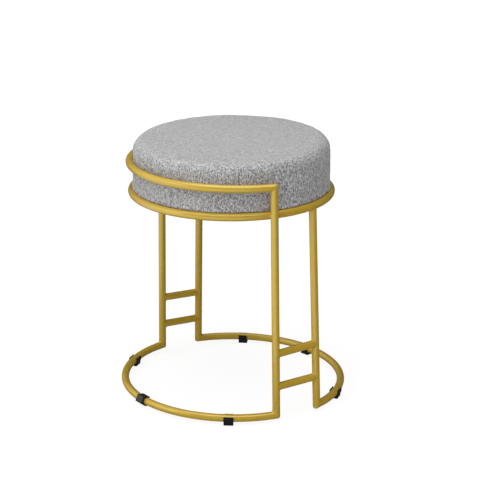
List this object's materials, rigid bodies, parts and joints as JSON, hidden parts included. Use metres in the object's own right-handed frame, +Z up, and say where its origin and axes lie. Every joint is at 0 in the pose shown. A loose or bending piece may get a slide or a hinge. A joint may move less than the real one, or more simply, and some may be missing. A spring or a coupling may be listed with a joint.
{
  "type": "vanity stool",
  "caption": "Backless round vanity stool: padded cloth seat on a welded open tube frame, with a low rail round one side and clip-on feet.",
  "frame": {"origin": "on the floor, under the middle of the stool", "axes": "+Z up; the middle of the cushion rail faces -Y and the open side faces +Y; the two leg gaps face +X and -X"},
  "size_m": [0.3964, 0.3984, 0.4545],
  "materials": {
    "frame_tube": "satin gold metallic paint",
    "foot_plastic": "black moulded plastic",
    "seat_cloth": "grey melange chenille weave",
    "pad_foam": "open-cell foam",
    "board_wood": "raw plywood",
    "underside_cloth": "black non-woven cloth",
    "bolt_steel": "zinc plated"
  },
  "bodies": {
    "root": {"rail_side_base_arc": "frame_tube", "open_side_base_arc": "frame_tube", "cushion_rail": "frame_tube", "seat_ring": "frame_tube", "near_rail_leg": "frame_tube", "far_rail_leg": "frame_tube", "near_open_leg": "frame_tube", "far_open_leg": "frame_tube", "near_lower_rung": "frame_tube", "near_upper_rung": "frame_tube", "far_lower_rung": "frame_tube", "far_upper_rung": "frame_tube", "seat_lug_1": "frame_tube", "seat_lug_2": "frame_tube", "seat_lug_3": "frame_tube", "seat_lug_4": "frame_tube", "foot_clip_1": "foot_plastic", "foot_clip_2": "foot_plastic", "foot_clip_3": "foot_plastic", "foot_clip_4": "foot_plastic", "foot_clip_5": "foot_plastic", "foot_clip_6": "foot_plastic", "cushion_cover": "seat_cloth", "seat_foam": "pad_foam", "seat_board": "board_wood", "dust_cover": "underside_cloth", "bolt_washer_1": "bolt_steel", "bolt_washer_2": "bolt_steel", "bolt_washer_3": "bolt_steel", "bolt_washer_4": "bolt_steel", "seat_bolt_1": "bolt_steel", "seat_bolt_2": "bolt_steel", "seat_bolt_3": "bolt_steel", "seat_bolt_4": "bolt_steel", "board_nut_1": "bolt_steel", "board_nut_2": "bolt_steel", "board_nut_3": "bolt_steel", "board_nut_4": "bolt_steel"}
  },
  "joints": []
}
